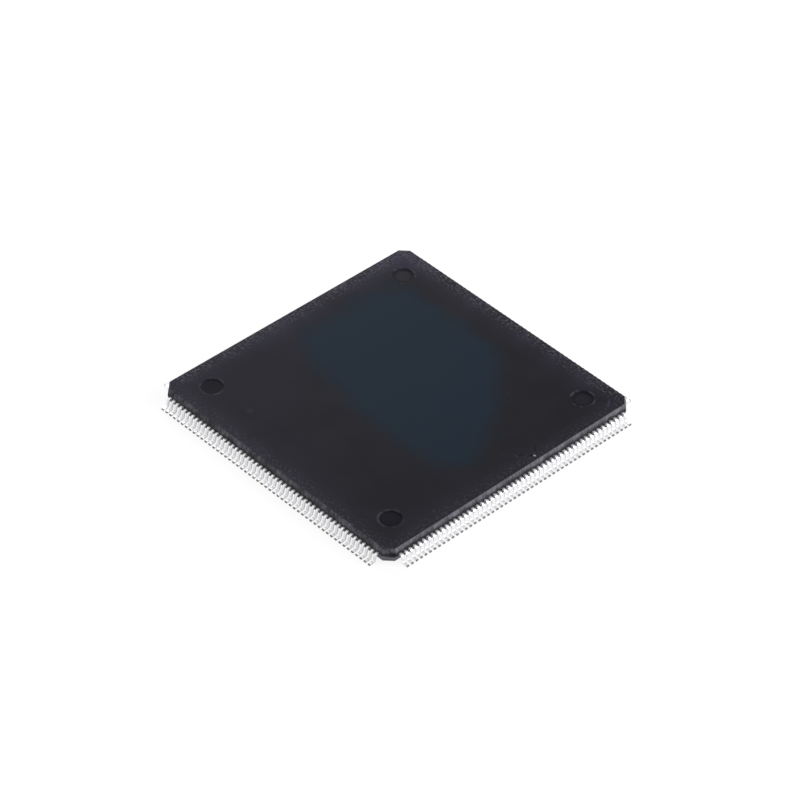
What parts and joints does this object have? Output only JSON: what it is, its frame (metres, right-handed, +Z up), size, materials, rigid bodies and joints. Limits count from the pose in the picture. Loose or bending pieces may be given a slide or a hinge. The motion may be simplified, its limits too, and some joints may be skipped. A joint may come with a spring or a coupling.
{
  "type": "quad flat pack chip",
  "caption": "Thin square surface-mount chip: a dark moulded body with chamfered corners and ejector pin marks, and a row of gull-wing leads along each side.",
  "frame": {"origin": "centre of the seating plane, which is the plane of the undersides of the lead feet", "axes": "+Z up through the top of the body; +X and +Y square to the sides, with the front row of leads facing -Y and the right row facing +X"},
  "size_m": [0.03, 0.03, 0.0015],
  "materials": {
    "moulding": "fine spark-eroded matt, as moulded",
    "tinned_lead": "matt tin plating",
    "bare_leadframe": "bare copper alloy strip",
    "silver_adhesive": "cured silver-filled epoxy",
    "silicon": "polished silicon",
    "polyimide_tape": "amber film",
    "gold_wire": "drawn gold wire"
  },
  "bodies": {
    "root": {"package_body": "moulding", "lead_row_front": "tinned_lead", "lead_row_right": "tinned_lead", "lead_row_back": "tinned_lead", "lead_row_left": "tinned_lead", "die_pad": "bare_leadframe", "die_attach": "silver_adhesive", "silicon_die": "silicon", "lock_tape": "polyimide_tape", "bond_wires_front": "gold_wire", "bond_wires_right": "gold_wire", "bond_wires_back": "gold_wire", "bond_wires_left": "gold_wire"}
  },
  "joints": []
}
